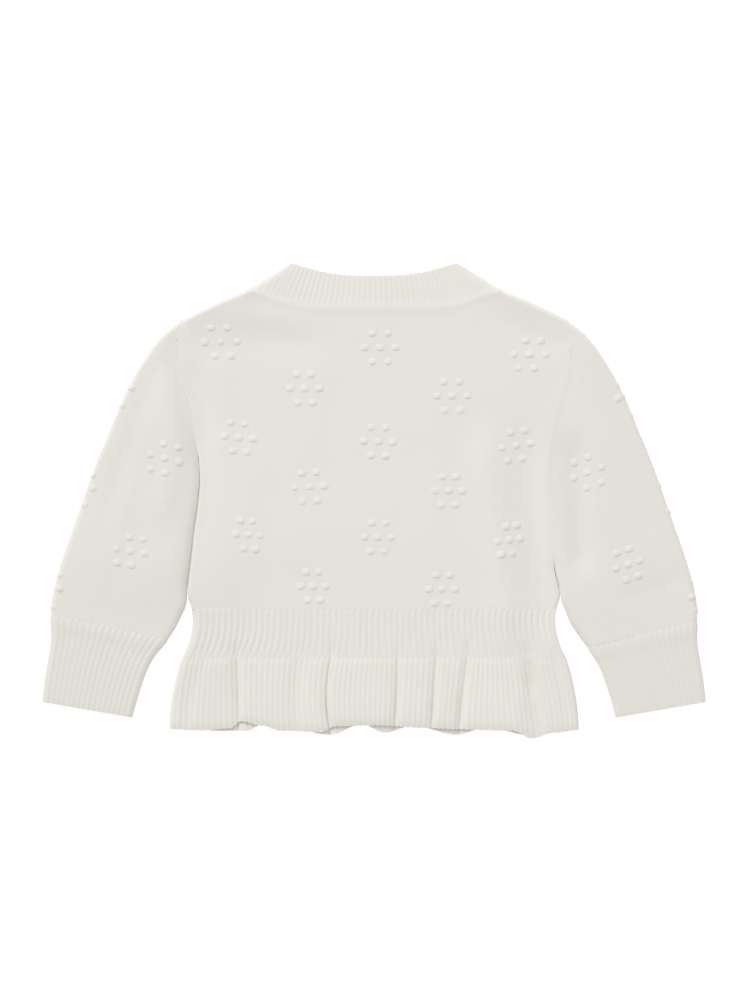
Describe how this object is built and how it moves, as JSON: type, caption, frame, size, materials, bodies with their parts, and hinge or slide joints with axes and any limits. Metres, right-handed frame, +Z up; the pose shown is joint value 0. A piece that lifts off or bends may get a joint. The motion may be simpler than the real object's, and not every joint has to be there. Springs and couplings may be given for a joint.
{
  "type": "baby sweater with a ruffled hem",
  "caption": "Long-sleeved knitted baby sweater with a ribbed waist, gathered ribbed ruffle, cuffs and neckband, laid flat with its back up.",
  "frame": {"origin": "on the surface it lies on, under the middle of its outline", "axes": "+X to the wearer's right as it lies back up, +Y from the hem to the neck, +Z up from the surface"},
  "size_m": [0.4978, 0.3564, 0.011],
  "materials": {
    "plain_knit": "soft matt stocking-stitch knit in off-white wool-like yarn, with a light haze of fibre",
    "rib_knit": "soft matt rib knit in the same off-white yarn, its wales 4 mm apart"
  },
  "bodies": {
    "root": {"back_panel": "plain_knit", "front_panel": "plain_knit", "sleeve_left": "plain_knit", "sleeve_right": "plain_knit", "cuff_left": "rib_knit", "cuff_right": "rib_knit", "neckband": "rib_knit", "waist_rib_back": "rib_knit", "waist_rib_front": "rib_knit", "ruffle_back": "rib_knit", "ruffle_front": "rib_knit"}
  },
  "joints": []
}
